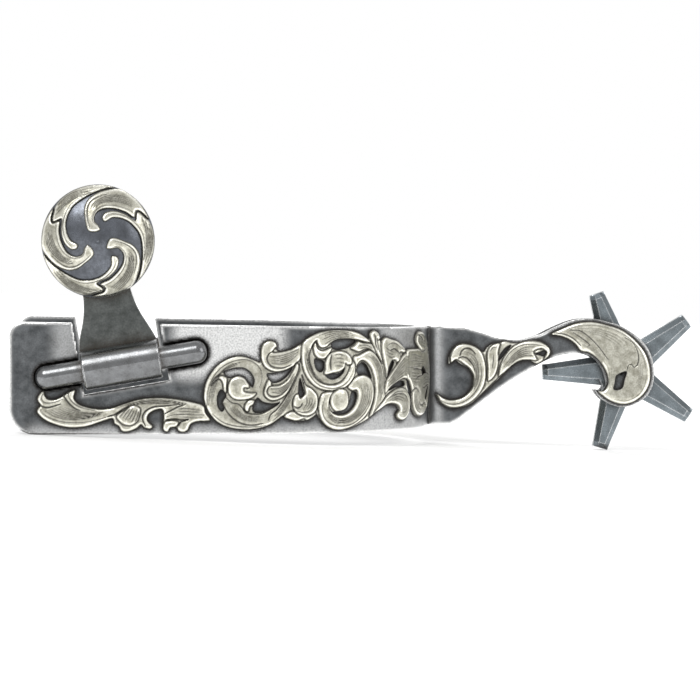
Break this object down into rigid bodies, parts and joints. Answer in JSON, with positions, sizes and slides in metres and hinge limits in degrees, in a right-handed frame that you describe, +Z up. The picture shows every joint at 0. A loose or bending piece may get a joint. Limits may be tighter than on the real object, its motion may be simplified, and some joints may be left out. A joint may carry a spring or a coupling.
{
  "type": "spur",
  "caption": "Western riding spur: steel heel band with swinging strap buttons, antiqued silver leaf overlays and a forked, curled shank holding a blunt star rowel.",
  "frame": {"origin": "centre of the bounding box in plan, on the table the spur stands on", "axes": "+X back to the rowel, +Y to the right of the wearer, +Z up"},
  "size_m": [0.1628, 0.101, 0.0567],
  "materials": {
    "band_steel": "dark satin steel, brushed across the band and blackened round the overlays",
    "hinge_steel": "satin steel with brown braze residue in the seams",
    "rowel_steel": "satin steel with lightly polished bevels",
    "button_steel": "dark satin steel ground under the silver leaves",
    "antiqued_silver": "engraved nickel silver, black antiquing left in the cuts"
  },
  "bodies": {
    "band": {"heel_band": "band_steel", "shank": "band_steel", "rowel_pin": "hinge_steel", "hinge_pin_left": "hinge_steel", "band_leaf_spray_left": "antiqued_silver", "band_scroll_left": "antiqued_silver", "band_flower_left": "antiqued_silver", "shank_leaf_left": "antiqued_silver", "rowel_cap_leaf_left": "antiqued_silver", "hinge_pin_right": "hinge_steel", "band_leaf_spray_right": "antiqued_silver", "band_scroll_right": "antiqued_silver", "band_flower_right": "antiqued_silver", "shank_leaf_right": "antiqued_silver", "rowel_cap_leaf_right": "antiqued_silver"},
    "rowel": {"rowel": "rowel_steel"},
    "left_button": {"hinge_barrel_left": "hinge_steel", "button_hanger_left": "hinge_steel", "button_left": "button_steel", "button_rivet_left": "hinge_steel", "button_scroll_left": "antiqued_silver"},
    "right_button": {"hinge_barrel_right": "hinge_steel", "button_hanger_right": "hinge_steel", "button_right": "button_steel", "button_rivet_right": "hinge_steel", "button_scroll_right": "antiqued_silver"}
  },
  "joints": [
    {"name": "rowel_spin", "type": "hinge", "parent": "band", "child": "rowel", "pos_m": [0.06396, 0, 0.01927], "axis": [0, 1, 0], "continuous": true},
    {"name": "left_button_swing", "type": "hinge", "parent": "band", "child": "left_button", "pos_m": [-0.05604, -0.04565, 0.01658], "axis": [0.9777, 0, 0.21], "range_deg": [-85, 150]},
    {"name": "right_button_swing", "type": "hinge", "parent": "band", "child": "right_button", "pos_m": [-0.05604, 0.04565, 0.01658], "axis": [-0.9777, 0, -0.21], "range_deg": [-85, 150]}
  ]
}
